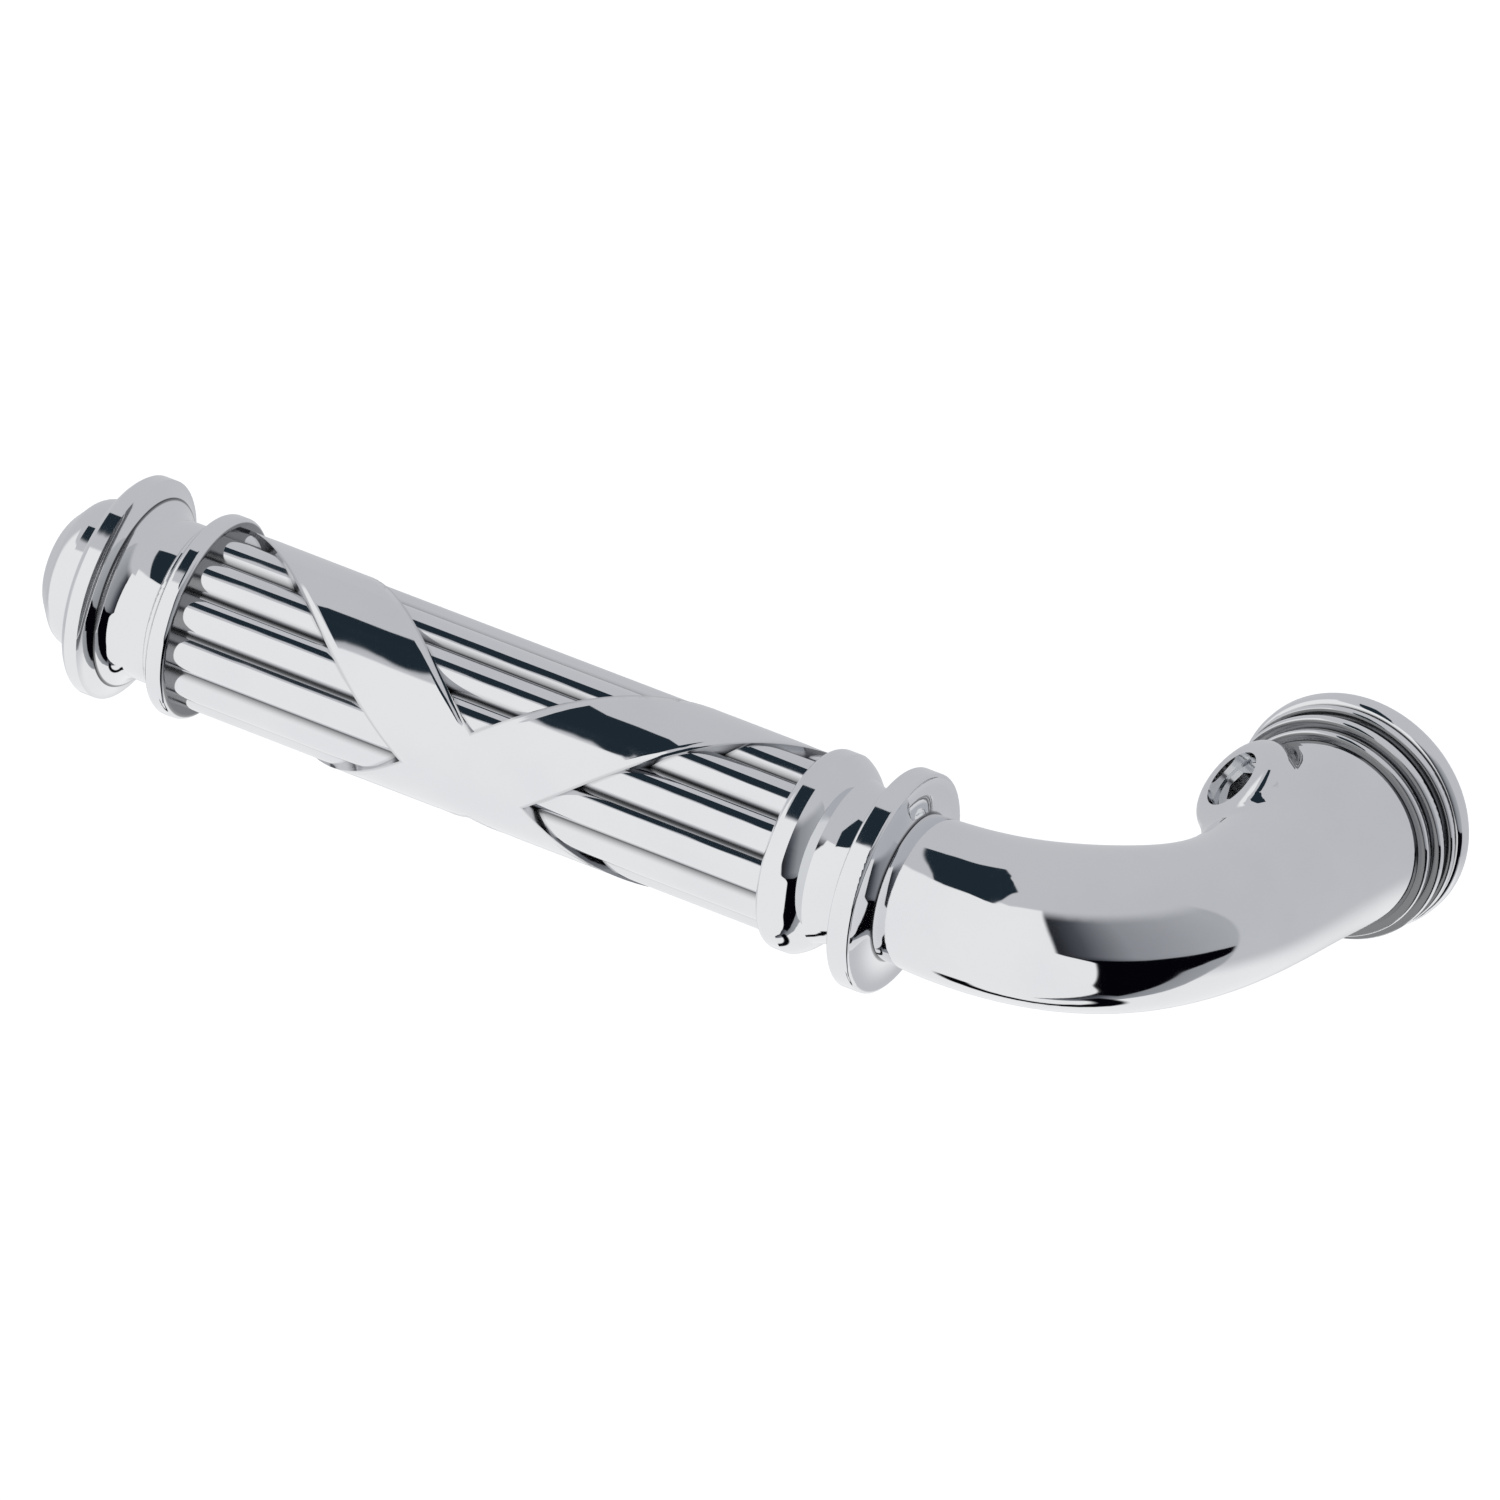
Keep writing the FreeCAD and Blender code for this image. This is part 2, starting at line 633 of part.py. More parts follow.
# ---------------------------------------------------------------- large ring and bell
# local Z of a piece on the grip line stays up, so a dowel hole sits at (0, offset)
RING_BAND_START = "((dims.ring_width - dims.ring_band) / 2)"
large_ring = turned_piece("large_ring", "grip", "dims.ring_seat", [
    ("0", "dims.spigot_radius"),
    ("0", "dims.arm_radius_seat", "-dims.ring_cove"),
    (f"{RING_BAND_START} - dims.ring_edge", "dims.ring_radius - dims.ring_edge", "dims.ring_edge"),
    (RING_BAND_START, "dims.ring_radius"),
    (f"{RING_BAND_START} + dims.ring_band", "dims.ring_radius", "dims.ring_edge"),
    (f"{RING_BAND_START} + dims.ring_band + dims.ring_edge", "dims.ring_radius - dims.ring_edge",
     "-dims.ring_cove"),
    ("dims.ring_width", "dims.ring_foot_radius"),
    ("dims.ring_width", "dims.spigot_radius"),
])
drill_along(large_ring, "ring_dowel_hole", "0", "dims.dowel_radius", "dims.ring_width",
            ("0", "dims.collar_dowel_offset"))

bell_collar = turned_piece("bell_collar", "grip", "dims.ring_seat + dims.ring_width", [
    ("0", "dims.spigot_radius"),
    ("0", "dims.bell_waist_radius", "-dims.bell_cove"),
    ("dims.bell_swell_start", "dims.bell_swell_radius", "dims.bell_shoulder"),
    ("dims.bell_width - dims.bell_rim_width", "dims.bell_radius"),
    ("dims.bell_width - dims.bell_round", "dims.bell_radius", "dims.bell_round"),
    ("dims.bell_width", "dims.bell_radius - dims.bell_round"),
    ("dims.bell_width", "dims.rod_radius"),
    ("dims.spigot_length - dims.ring_width", "dims.rod_radius"),
    ("dims.spigot_length - dims.ring_width", "dims.spigot_radius"),
])
drill_along(bell_collar, "bell_dowel_hole", "0", "dims.dowel_radius", "dims.collar_dowel_depth",
            ("0", "dims.collar_dowel_offset"))
drill_along(bell_collar, "bell_grip_dowel_hole", "dims.bell_width - dims.grip_dowel_depth",
            "dims.grip_dowel_radius", "dims.grip_dowel_depth", ("0", "dims.grip_dowel_offset"))

# ---------------------------------------------------------------- reeded grip sleeve
# in the sleeve's own frame X is up, Y points to the door and Z to the tip
GRIP_LENGTH = size("dims.grip_length")
CUTTER_RADIUS = size("dims.grip_radius_outer_end + dims.cut_over")


def polar(radius, turn, along=0.0):
    """Point at a radius and a turn, in radians from the top towards the door."""
    return Vector(radius * math.cos(turn), radius * math.sin(turn), along)


def reed_cutter():
    """Tube round the grip whose bore is the outline of a bundle of round reeds."""
    count = int(size("dims.reed_count"))
    reed_radius = size("dims.reed_radius")
    crest = size("dims.reed_crest_radius")
    half_step = math.pi / count
    reed_axis = crest - reed_radius
    half_chord = reed_axis * math.sin(half_step)
    valley = reed_axis * math.cos(half_step) + math.sqrt(reed_radius ** 2 - half_chord ** 2)
    arcs = []
    for number in range(count):
        turn = 2 * number * half_step
        arc = Part.Arc(polar(valley, turn - half_step), polar(crest, turn),
                       polar(valley, turn + half_step))
        arcs.append(arc.toShape())
    bundle = Part.Face(Part.Wire(arcs)).extrude(Z_AXIS * GRIP_LENGTH)
    return Part.makeCylinder(CUTTER_RADIUS, GRIP_LENGTH).cut(bundle)


def winding_ribbon(left_handed):
    """Thick helical band that keeps the reed cutter off one smooth ribbon."""
    pitch = size("dims.ribbon_pitch")
    half_width = size("dims.ribbon_half_width")
    core = size("dims.grip_bore - dims.cut_over")
    rim = CUTTER_RADIUS + size("dims.cut_over")
    foot = -2 * half_width
    lead = 2 * math.pi * (size("dims.ribbon_crossing") - foot) / pitch
    turn = math.radians(size("dims.ribbon_crossing_turn")) + (lead if left_handed else -lead)
    path = Part.makeHelix(pitch, GRIP_LENGTH - 2 * foot, core, 0, left_handed)
    path.rotate(Vector(0, 0, 0), Z_AXIS, math.degrees(turn))
    path.translate(Z_AXIS * foot)
    corners = [polar(core, turn, foot - half_width), polar(rim, turn, foot - half_width),
               polar(rim, turn, foot + half_width), polar(core, turn, foot + half_width)]
    section = Part.makePolygon(corners + corners[:1])
    return Part.Wire(path.Edges).makePipeShell([section], True, True)


reed_valleys = doc.addObject("Part::Feature", "reed_valleys")
reed_valleys.Shape = reed_cutter().cut(winding_ribbon(False)).cut(winding_ribbon(True))

grip_blank = doc.addObject("Part::Cone", "grip_blank")
grip_blank.setExpression("Radius1", "dims.grip_radius_inner_end")
grip_blank.setExpression("Radius2", "dims.grip_radius_outer_end")
grip_blank.setExpression("Height", "dims.grip_length")
grip_bore = doc.addObject("Part::Cylinder", "grip_bore")
grip_bore.setExpression("Radius", "dims.grip_bore")
grip_bore.setExpression("Height", "dims.grip_length")
grip_dowel_hole = doc.addObject("Part::Cylinder", "grip_dowel_hole")
grip_dowel_hole.setExpression("Radius", "dims.grip_dowel_radius")
grip_dowel_hole.setExpression("Height", "dims.grip_dowel_depth")
grip_dowel_hole.setExpression("Placement.Base.x", "dims.grip_dowel_offset")
doc.recompute()

grip_tube = doc.addObject("Part::Cut", "grip_tube")
grip_tube.Base = grip_blank
grip_tube.Tool = grip_bore
drilled_tube = doc.addObject("Part::Cut", "drilled_tube")
drilled_tube.Base = grip_tube
drilled_tube.Tool = grip_dowel_hole
grip_sleeve = doc.addObject("Part::Cut", "grip_sleeve")
grip_sleeve.Label = "grip_sleeve"
grip_sleeve.Base = drilled_tube
grip_sleeve.Tool = reed_valleys
grip_sleeve.Placement = Placement(Vector(0, 0, 0), TO_TIP)
grip_sleeve.setExpression("Placement.Base.x", f"-{GRIP_SEAT}")
grip_sleeve.setExpression("Placement.Base.y", "-dims.grip_offset")

doc.recompute()
if grip_sleeve.Shape.Volume >= drilled_tube.Shape.Volume - LEAST_CUT:
    raise RuntimeError("the reeds cut nothing from the grip")

# two plastic plugs keep the sleeve central on the tie rod
for label, seat in (
    ("inner_centring_plug", GRIP_SEAT),
    ("outer_centring_plug", f"{GRIP_SEAT} + dims.grip_length - dims.centring_width"),
):
    turned_piece(label, "grip", seat, [
        ("0", "dims.rod_radius"),
        ("0", "dims.grip_bore"),
        ("dims.centring_width", "dims.grip_bore"),
        ("dims.centring_width", "dims.rod_radius"),
    ])

# ---------------------------------------------------------------- end ring, spool and finial
END_SEAT = f"({GRIP_SEAT} + dims.grip_length)"
turned_piece("grip_end_ring", "grip", END_SEAT,
             rounded_ring("dims.end_ring_width", "dims.end_ring_radius", "dims.rod_radius",
                          "dims.end_ring_round"))
turned_piece("grip_end_bead", "grip", f"{END_SEAT} + dims.end_ring_width",
             rounded_ring("dims.end_bead_width", "dims.end_bead_radius", "dims.rod_radius",
                          "dims.end_bead_round"))

SPOOL_SEAT = f"({END_SEAT} + dims.end_ring_width + dims.end_bead_width)"
turned_piece("finial_spool", "grip", SPOOL_SEAT, [
    ("0", "dims.rod_radius"),
    ("0", "dims.spool_radius", "dims.spool_barrel"),
    ("dims.spool_barrel_end", "dims.spool_barrel_end_radius", "-dims.spool_cove"),
    ("dims.spool_width", "dims.spool_flare_radius"),
    ("dims.spool_width", "dims.spool_pocket"),
    ("dims.spool_web", "dims.spool_pocket"),
    ("dims.spool_web", "dims.rod_radius"),
])
turned_piece("lock_washer", "grip", f"{SPOOL_SEAT} + dims.spool_web", [
    ("0", "dims.rod_radius"),
    ("0", "dims.lock_washer_radius"),
    ("dims.lock_washer_width", "dims.lock_washer_radius"),
    ("dims.lock_washer_width", "dims.rod_radius"),
], angle="360 - dims.lock_washer_gap")
rod_nut = doc.addObject("PartDesign::Body", "rod_nut")
rod_nut.Label = "rod_nut"
nut_outline = sketch_on(rod_nut, "nut_outline", "YZ_Plane")
draw_polygon(nut_outline, 6, "dims.nut_hex")
draw_circle(nut_outline, "dims.rod_radius")
pad(rod_nut, nut_outline, "dims.nut_width")
place_on_line(rod_nut, "grip", f"{SPOOL_SEAT} + dims.spool_web + dims.lock_washer_width")

DISC_SEAT = f"({SPOOL_SEAT} + dims.spool_width)"
DISC_LIP = "(dims.disc_width - dims.disc_band) / 2"
turned_piece("finial_disc", "grip", DISC_SEAT, [
    ("0", "dims.rod_radius"),
    ("0", "dims.spool_flare_radius", "-dims.disc_cove"),
    (DISC_LIP, "dims.disc_radius"),
    (f"{DISC_LIP} + dims.disc_band", "dims.disc_radius", "dims.disc_crown"),
    ("dims.disc_width", "dims.disc_face_radius"),
    ("dims.disc_width", "dims.rod_radius"),
])
DOME_SEAT = f"({DISC_SEAT} + dims.disc_width)"
finial_dome = turned_piece("finial_dome", "grip", DOME_SEAT, [
    ("0", "dims.rod_radius"),
    ("0", "dims.dome_radius"),
    ("dims.dome_wall", "dims.dome_radius"),
    ("dims.dome_length", "dims.dome_flat"),
    ("dims.dome_length", "0"),
    (f"dims.rod_end + dims.rod_end_gap - {DOME_SEAT}", "0"),
    (f"dims.rod_end + dims.rod_end_gap - {DOME_SEAT}", "dims.rod_radius"),
])
round_rim(finial_dome, "dims.dome_wall", "dims.dome_radius", "dims.dome_shoulder")
round_rim(finial_dome, "dims.dome_length", "dims.dome_flat", "dims.dome_crown")

# ---------------------------------------------------------------- check and write
doc.recompute()
NODES = [
    "base_ring", "bearing_bush",
    "elbow_neck", "step_ring", "groove_ring", "bead_ring", "neck_ring",
    "spindle_sleeve", "disc_spring", "retaining_washer", "snap_ring", "stop_pin",
    "large_ring", "bell_collar", "collar_dowel", "grip_dowel", "tie_rod", "grip_sleeve",
    "inner_centring_plug", "outer_centring_plug", "grip_end_ring", "grip_end_bead",
    "finial_spool", "lock_washer", "rod_nut", "finial_disc", "finial_dome",
    "set_screw",
]
for item in doc.Objects:
    if "Invalid" in item.State or "Error" in item.State:
        raise RuntimeError(f"{item.Name} failed: {item.State}")
pieces = {item.Label: item for item in doc.Objects}
for node in NODES:
    shape = pieces[node].Shape
    if shape.isNull() or not shape.isValid() or len(shape.Solids) != 1:
        raise RuntimeError(f"{node} is not one sound solid")

os.makedirs("parts", exist_ok=True)
for node in NODES:
    shape = pieces[node].Shape
    shape.exportStep(f"parts/{node}.step")
    print(f"{node}: {shape.Volume:.1f} mm3, {len(shape.Solids)} solid")
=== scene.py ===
import bpy
import math
from mathutils import Matrix, Vector


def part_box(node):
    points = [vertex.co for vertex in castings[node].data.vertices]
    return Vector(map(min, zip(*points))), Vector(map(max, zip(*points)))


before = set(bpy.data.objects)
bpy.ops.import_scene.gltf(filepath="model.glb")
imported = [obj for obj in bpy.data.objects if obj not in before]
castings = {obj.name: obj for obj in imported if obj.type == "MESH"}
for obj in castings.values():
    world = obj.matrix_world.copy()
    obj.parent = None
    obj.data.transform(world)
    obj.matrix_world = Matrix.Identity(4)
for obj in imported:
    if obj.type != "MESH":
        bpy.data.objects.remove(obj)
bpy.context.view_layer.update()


# ---------------------------------------------------------------- bearing ring
# The ring that stays on the door: brass, turned with a threaded boss behind it, buffed
# and chrome plated. It screws into the door furniture and the lever turns inside it.
class Tone:
    """One socket of a finish. Sums on it add Math nodes to the finish's tree."""

    def __init__(self, tree, socket=None):
        self.tree = tree
        self.socket = socket

    def node(self, kind, settings=None, sockets=None, output=0):
        """A new node in the same tree, as the tone of one of its outputs."""
        made = self.tree.nodes.new(kind)
        for name, value in (settings or {}).items():
            if name == "stops":
                for _ in value[2:]:
                    made.color_ramp.elements.new(0.5)
                for stop, (place, colour) in zip(made.color_ramp.elements, value):
                    stop.position = place
                    stop.color = (*colour, 1)
            else:
                setattr(made, name, value)
        for name, value in (sockets or {}).items():
            if isinstance(value, Tone):
                self.tree.links.new(value.socket, made.inputs[name])
            else:
                made.inputs[name].default_value = value
        return Tone(self.tree, made.outputs[output])

    def sum_of(self, operation, *values):
        return self.node("ShaderNodeMath", {"operation": operation}, dict(enumerate(values)))

    def __add__(self, other):
        return self.sum_of("ADD", self, other)

    def __sub__(self, other):
        return self.sum_of("SUBTRACT", self, other)

    def __rsub__(self, other):
        return self.sum_of("SUBTRACT", other, self)

    def __mul__(self, other):
        return self.sum_of("MULTIPLY", self, other)

    def __truediv__(self, other):
        return self.sum_of("DIVIDE", self, other)

    __radd__ = __add__
    __rmul__ = __mul__

    def rise(self, start, end):
        """Goes smoothly from 0 at start to 1 at end; start may be above end."""
        return self.node("ShaderNodeMapRange", {"interpolation_type": "SMOOTHSTEP"},
                         {"Value": self, "From Min": start, "From Max": end})

    def blend(self, low, high):
        """This tone's share of the way from one colour to another."""
        low = low if isinstance(low, Tone) else (*low, 1)
        high = high if isinstance(high, Tone) else (*high, 1)
        return self.node("ShaderNodeMix", {"data_type": "RGBA"}, {0: self, 6: low, 7: high}, output=2)

    def along(self, axis):
        """One coordinate of a place or a direction."""
        return self.node("ShaderNodeSeparateXYZ", {}, {"Vector": self}, output=axis)


def new_finish(name, metallic):
    """A material with its shader, the tone to build on and the place on the piece."""
    material = bpy.data.materials.new(name)
    material.use_nodes = True
    shader = material.node_tree.nodes["Principled BSDF"]
    shader.inputs["Metallic"].default_value = metallic
    tone = Tone(material.node_tree)
    place = tone.node("ShaderNodeTexCoord", output="Object")
    return material, shader, tone, place


def feed(shader, tone, socket):
    tone.tree.links.new(tone.socket, shader.inputs[socket])


def marks(place, scale, grain=(1, 1, 1), detail=2.0):
    """Noise on the piece, with so many marks a metre, drawn out across the grain."""
    spread = place.node("ShaderNodeMapping", {}, {"Vector": place, "Scale": grain})
    return place.node("ShaderNodeTexNoise", {}, {"Vector": spread, "Scale": scale, "Detail": detail})


AXES = "XYZ"


def part_lines(place, axis, nodes, half_width, on_faces):
    """The mask of the painted shade: 1 in a fine line at each end of these parts along an axis, and 0
    elsewhere.

    A face square to the axis lies all along the line, so it only takes the share on_faces.
    An end that meets no other part, such as the dome's flat tip, is darkened as well.
    """
    number = AXES.index(axis)
    along = place.along(axis)
    gap = 0
    for end in sorted({round(corner[number], 5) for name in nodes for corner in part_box(name)}):
        gap = gap + place.sum_of("ABSOLUTE", along - end).rise(half_width, half_width / 3)
    facing = place.node("ShaderNodeTexCoord", output="Normal").along(axis)
    return gap * (on_faces + (1 - on_faces) * (facing * facing).rise(0.9, 0.4))


BRIGHT_CHROME = (0.805, 0.815, 0.83)
HAZED_CHROME = (0.775, 0.785, 0.81)
# the near-black of the painted shade in the seams, in the reed valleys and along the ribbons' edges
PAINTED_SHADE_COLOUR = (0.035, 0.036, 0.04)


def chrome(name, lay, painted_shade_at, relief=None, wave=0.00007):
    """Bright chrome over buffed brass; lay is how fast the buffing lines change along each axis.

    The third argument gives the share of painted shade at a place, relief its height in metres, and
    wave is how high the surface swells, in metres.
    """
    material, shader, tone, place = new_finish(name, 1.0)
    haze = marks(place, 90, detail=4).rise(0.35, 0.75)
    lines = marks(place, 900, lay, detail=1)
    painted_shade = painted_shade_at(place)
    # painted shade: the base colour goes towards the near-black where the shade mask is high, and the
    # roughness rises there
    feed(shader, painted_shade.blend(haze.blend(BRIGHT_CHROME, HAZED_CHROME), PAINTED_SHADE_COLOUR), "Base Color")
    feed(shader, 0.03 + 0.025 * haze + 0.03 * lines.rise(0.5, 0.8) + 0.2 * painted_shade, "Roughness")
    height = marks(place, 70) + 0.02 * lines
    if relief:
        height = height + relief(place) / wave
    feed(shader, tone.node("ShaderNodeBump", {}, {
        "Strength": 1.0, "Distance": wave, "Height": height}), "Normal")
    return material


def finish_node(name, material):
    """Gives a CAD part its finish."""
    castings[name].material_slots[0].material = material


ALONG_SPINDLE = (0.05, 1, 0.05)
HUB_PARTS = ("base_ring", "step_ring", "groove_ring", "bead_ring", "neck_ring")


# painted shade: a dark line where the hub rings meet, darker over the flat faces there
def hub_seam_shade(place):
    return part_lines(place, "Y", HUB_PARTS, half_width=0.00016, on_faces=0.75)


hub_chrome = chrome("hub_chrome", ALONG_SPINDLE, hub_seam_shade)
finish_node("base_ring", hub_chrome)

# ---------------------------------------------------------------- bearing bush
# A thin flanged sleeve of white acetal, pressed into the ring so that steel never turns
# on chrome. It is machined from rod and keeps faint turning rings on its end.
acetal, shader, tone, place = new_finish("turned_acetal", 0.0)
cloud = marks(place, 400, detail=3)
turning = marks(place, 2500, ALONG_SPINDLE, detail=1)
feed(shader, cloud.blend((0.78, 0.77, 0.72), (0.86, 0.85, 0.81)), "Base Color")
feed(shader, 0.38 + 0.15 * turning, "Roughness")
feed(shader, tone.node("ShaderNodeBump", {}, {"Strength": 0.15, "Distance": 0.0002, "Height": turning}),
     "Normal")
finish_node("bearing_bush", acetal)

# ---------------------------------------------------------------- bent neck and arm
# One brass casting: the foot, the bend and the arm, with a lug for the grub screw. It is
# fettled and buffed by hand before plating, so its surface swells very slightly.
# painted shade: a dark line where the foot meets the neck ring and where the arm meets the large ring
def arm_seam_shade(place):
    foot_gap = part_lines(place, "Y", ("neck_ring",), half_width=0.00015, on_faces=0.5)
    return foot_gap + part_lines(place, "X", ("large_ring",), half_width=0.00015, on_faces=0.5)


ALL_WAYS = (0.4, 0.4, 0.4)
arm_chrome = chrome("arm_chrome", ALL_WAYS, arm_seam_shade, wave=0.0001)
finish_node("elbow_neck", arm_chrome)

# ---------------------------------------------------------------- rings on the foot
# Four narrow turned rings pushed on to the foot of the neck: a step, a groove, a bead and
# the ring under the neck. They are brass, plated after they are pressed on.
for ring in HUB_PARTS[1:]:
    finish_node(ring, hub_chrome)

# ---------------------------------------------------------------- spindle sleeve
# A steel sleeve with a broached square for the spindle. It is zinc plated and held in
# the neck; a washer and a snap ring behind the bearing keep it in.
zinc, shader, tone, place = new_finish("bright_zinc", 1.0)
bloom = marks(place, 350, detail=5)
turning = marks(place, 2200, ALONG_SPINDLE, detail=1)
feed(shader, bloom.blend((0.50, 0.52, 0.54), (0.66, 0.66, 0.63)), "Base Color")
feed(shader, 0.26 + 0.22 * bloom, "Roughness")
feed(shader, tone.node("ShaderNodeBump", {}, {"Strength": 0.2, "Distance": 0.0002, "Height": turning}),
     "Normal")
for piece in ("spindle_sleeve", "retaining_washer", "stop_pin", "tie_rod", "rod_nut", "collar_dowel",
              "grip_dowel"):
    finish_node(piece, zinc)

# ---------------------------------------------------------------- springs
# The dished spring, the snap ring and the split washer are hardened spring steel, oiled
# and tumbled: dark grey with brighter rubbed places.
spring_steel, shader, tone, place = new_finish("oiled_spring_steel", 1.0)
rub = marks(place, 500, detail=4).rise(0.4, 0.7)
feed(shader, rub.blend((0.16, 0.16, 0.17), (0.34, 0.34, 0.34)), "Base Color")
feed(shader, 0.45 - 0.15 * rub, "Roughness")
for piece in ("disc_spring", "snap_ring", "lock_washer"):
    finish_node(piece, spring_steel)

# ---------------------------------------------------------------- set screw
# A stainless grub screw with a hexagon socket, let into the neck's lug at a slant. It
# locks the lever to the spindle and is the only fastening that shows.
screw_steel, shader, tone, place = new_finish("stainless_screw", 1.0)
rub = marks(place, 700, detail=4)
feed(shader, rub.blend((0.60, 0.61, 0.62), (0.74, 0.75, 0.76)), "Base Color")
feed(shader, 0.10 + 0.12 * rub, "Roughness")
finish_node("set_screw", screw_steel)

# ---------------------------------------------------------------- ring and bell
# The large ring and the bell collar are turned from brass bar on the grip's line and
# plated one by one. Dowels keep them from turning under the grip.
ALONG_GRIP = (1, 0.05, 0.05)
GRIP_PARTS = ("large_ring", "bell_collar", "grip_sleeve", "grip_end_ring", "grip_end_bead",
              "finial_spool", "finial_disc", "finial_dome")


# painted shade: a dark line at each end of the grip's parts, darker over the flat faces there
def grip_seam_shade(place):
    return part_lines(place, "X", GRIP_PARTS, half_width=0.00012, on_faces=0.7)


grip_chrome = chrome("grip_chrome", ALONG_GRIP, grip_seam_shade)
for piece in ("large_ring", "bell_collar"):
    finish_node(piece, grip_chrome)

# ---------------------------------------------------------------- reeded grip
# A brass tube cast with twelve round reeds and two smooth ribbons that wind round them.
# It is buffed lengthwise, so its faint lines run along the reeds.
RIBBON_PITCH = 0.0677
RIBBON_HALF_WIDTH = 0.0065
RIBBON_CROSSING = 0.031
RIBBON_CROSSING_TURN = math.radians(-100.8)
VALLEY_TOP = 0.0081
VALLEY_FLOOR = 0.0074
# how wide the painted shade runs along each ribbon's edge
EDGE_SHADE_WIDTH = 0.0005
EDGE_ROUND_WIDTH = 0.0013
EDGE_ROUND_HEIGHT = 0.0002
sleeve_low, sleeve_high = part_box("grip_sleeve")
grip_line = (sleeve_low + sleeve_high) / 2


def from_ribbon(place):
    """How far a place is outside the nearer ribbon's edge, along the grip; less than 0 on it."""
    run = sleeve_high.x - RIBBON_CROSSING - place.along("X")
    turn = place.sum_of("ARCTAN2", place.along("Y") - grip_line.y, place.along("Z") - grip_line.z)
    lead = (turn - RIBBON_CROSSING_TURN) / (2 * math.pi)
    offsets = [place.sum_of("PINGPONG", run / RIBBON_PITCH + hand * lead, 0.5) for hand in (-1, 1)]
    return RIBBON_PITCH * place.sum_of("MINIMUM", *offsets) - RIBBON_HALF_WIDTH


def reed_valley_shade(place):
    """Painted shade: the colour darkens in the valleys between the reeds and in a thin line along the
    ribbons' edges.
    """
    across = place.along("Y") - grip_line.y
    up = place.along("Z") - grip_line.z
    radius = place.sum_of("SQRT", across * across + up * up)
    edge = place.sum_of("ABSOLUTE", from_ribbon(place)).rise(EDGE_SHADE_WIDTH, EDGE_SHADE_WIDTH / 5)
    return 0.75 * radius.rise(VALLEY_TOP, VALLEY_FLOOR) + 0.2 * edge


def rounded_ribbons(place):
    """The ribbons' edges look buffed round; the height falls off towards each edge."""
    return EDGE_ROUND_HEIGHT * from_ribbon(place).rise(0, -EDGE_ROUND_WIDTH)


ALONG_REEDS = (0.04, 1, 1)
reed_chrome = chrome("reed_chrome", ALONG_REEDS, reed_valley_shade, rounded_ribbons, wave=0.0001)
finish_node("grip_sleeve", reed_chrome)

# two moulded plugs inside keep the sleeve central on the rod
nylon, shader, tone, place = new_finish("moulded_nylon", 0.0)
cloud = marks(place, 300, detail=3)
feed(shader, cloud.blend((0.62, 0.60, 0.55), (0.74, 0.72, 0.66)), "Base Color")
feed(shader, 0.42 + 0.2 * cloud, "Roughness")
for piece in ("inner_centring_plug", "outer_centring_plug"):
    finish_node(piece, nylon)

# ---------------------------------------------------------------- end ring and finial
# The grip ends in a stepped ring, a spool, a thin disc and a flat-topped dome that caps
# the rod's end. All are turned brass, plated, and clamped by the rod.
for piece in ("grip_end_ring", "grip_end_bead", "finial_spool", "finial_disc", "finial_dome"):
    finish_node(piece, grip_chrome)

# ---------------------------------------------------------------- studio
# A pale floor well below the lever, and soft light all round: grey above, a white card in
# front and below, a grey patch beside it, a dark corner to the right, a dark slot overhead
# and a thin dark line low down. Bearings and heights are in degrees, from the front and up.
FLOOR_HEIGHT = -0.125
FLOOR_SIZE = 8
FLOOR_GLOW = 0.55
bpy.ops.mesh.primitive_plane_add(size=FLOOR_SIZE, location=(0, 0, FLOOR_HEIGHT))
floor = bpy.context.object
floor.name = "floor"
floor.visible_glossy = False
pale, shader, tone, place = new_finish("pale_floor", 0.0)
feed(shader, marks(place, 30).blend((0.86, 0.86, 0.86), (0.88, 0.88, 0.88)), "Base Color")
shader.inputs["Roughness"].default_value = 0.9
shader.inputs["Specular IOR Level"].default_value = 0.0
shader.inputs["Emission Color"].default_value = (1, 1, 1, 1)
shader.inputs["Emission Strength"].default_value = FLOOR_GLOW
floor.data.materials.append(pale)

studio = bpy.data.worlds.new("studio")
studio.use_nodes = True
bpy.context.scene.world = studio
tone = Tone(studio.node_tree)
to_room = tone.node("ShaderNodeTexCoord", output="Generated")
across = to_room.along("X")
away = to_room.along("Y")
rising = to_room.along("Z")
DEGREES = 180 / math.pi
bearing = DEGREES * tone.sum_of("ARCTAN2", across, 0 - away)
height = DEGREES * tone.sum_of("ARCSINE", rising)
ceiling_x = across / tone.sum_of("MAXIMUM", rising, 0.05)
ceiling_y = away / tone.sum_of("MAXIMUM", rising, 0.05)

GREY = (0.60, 0.606, 0.63)
WHITE = (0.95, 0.95, 0.95)
SLOT = (0.0154, 0.026, 0.037)
CORNER = (0.0015, 0.0015, 0.003)

SOFT = 1
CARD_EDGE = 26
PATCH_END = 100
PATCH_FADE = 70
light = height.rise(-28, -48).blend(GREY, WHITE)
# the white card
card_edge = CARD_EDGE + 0.15 * (20 - height) + 14 * height.rise(-6, -17) + 10 * height.rise(-50, -67)
card = bearing.rise(card_edge + SOFT, card_edge - SOFT) * bearing.rise(-100, -85) * height.rise(50, 47)
light = card.blend(light, WHITE)
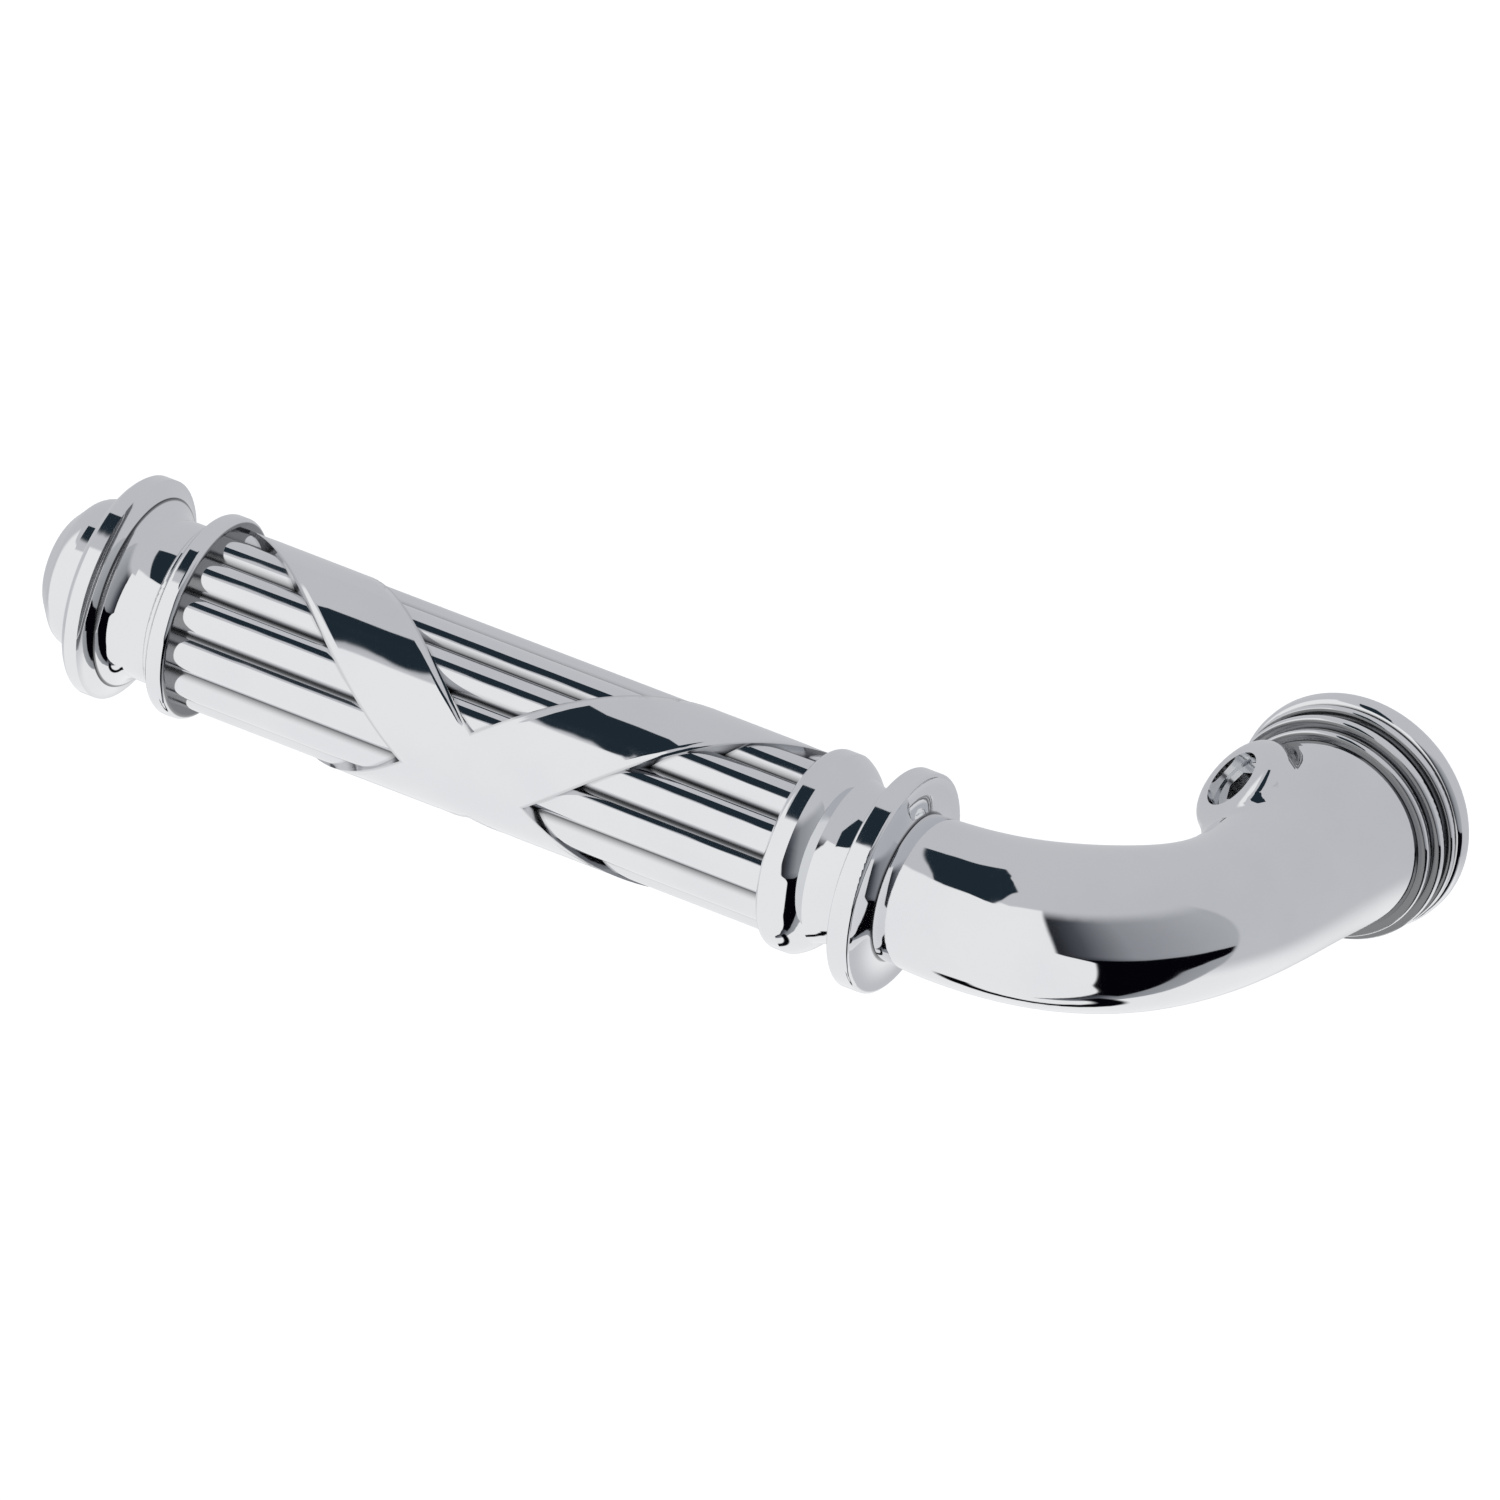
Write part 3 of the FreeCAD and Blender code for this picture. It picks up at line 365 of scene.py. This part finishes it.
# the grey patch that fades into the dark beside the card
patch = (bearing.rise(card_edge - SOFT, card_edge + SOFT)
         * bearing.rise(PATCH_END + SOFT, PATCH_END - SOFT) * height.rise(52, 36))
patch_light = tone.node("ShaderNodeValToRGB", {"stops": [
    (0.0, (0.012, 0.014, 0.018)), (0.16, (0.08, 0.085, 0.10)), (0.42, (0.30, 0.31, 0.33)),
    (1.0, (0.46, 0.47, 0.49))]}, {"Fac": (bearing - card_edge) / PATCH_FADE})
light = patch.blend(light, patch_light)
# the dark corner
corner_end = 99 - 15 * height.rise(-17, -35)
corner = (bearing.rise(card_edge - SOFT, card_edge + SOFT)
          * bearing.rise(corner_end + SOFT, corner_end - SOFT)
          * height.rise(-11.5, -12.5) * height.rise(-69, -67))
light = corner.blend(light, CORNER)
# a thin dark line low down on both sides
low_line = (height.rise(-72, -74) * height.rise(-80, -78)
              * tone.sum_of("ABSOLUTE", bearing).rise(76, 84))
light = low_line.blend(light, CORNER)
# the dark slot overhead
slot = (ceiling_x.rise(-0.48, -0.46) * ceiling_x.rise(0.01, -0.01)
        * (ceiling_y + 0.49 * ceiling_x).rise(-0.975, -0.955)
        * (ceiling_y + 2.3 * ceiling_x).rise(-0.38, -0.40)
        * ceiling_y.rise(0.13, 0.11) * rising.rise(0.3, 0.35))
light = slot.blend(light, SLOT)
seen = tone.node("ShaderNodeLightPath", output="Is Camera Ray")
light = seen.blend(light, (1, 1, 1))
tone.tree.links.new(light.socket, studio.node_tree.nodes["Background"].inputs["Color"])

# the camera looks down on the lever from the front right, leaning a little
CAMERA_BEARING = math.radians(24.91)
CAMERA_HEIGHT = math.radians(29.59)
CAMERA_LEAN = math.radians(8.02)
CAMERA_DISTANCE = 1.5
LENS = 382.9
LOOK_AT = Vector((-0.062, 0, -0.0179))
turn = (Matrix.Rotation(CAMERA_BEARING, 4, "Z") @ Matrix.Rotation(math.pi / 2 - CAMERA_HEIGHT, 4, "X")
        @ Matrix.Rotation(CAMERA_LEAN, 4, "Z"))
camera = bpy.data.objects.new("camera", bpy.data.cameras.new("camera"))
bpy.context.scene.collection.objects.link(camera)
camera.data.sensor_width = 36
camera.data.lens = LENS
camera.data.clip_end = 20
camera.matrix_world = Matrix.Translation(LOOK_AT) @ turn @ Matrix.Translation((0, 0, CAMERA_DISTANCE))
bpy.context.scene.camera = camera
bpy.context.scene.view_settings.view_transform = "Standard"
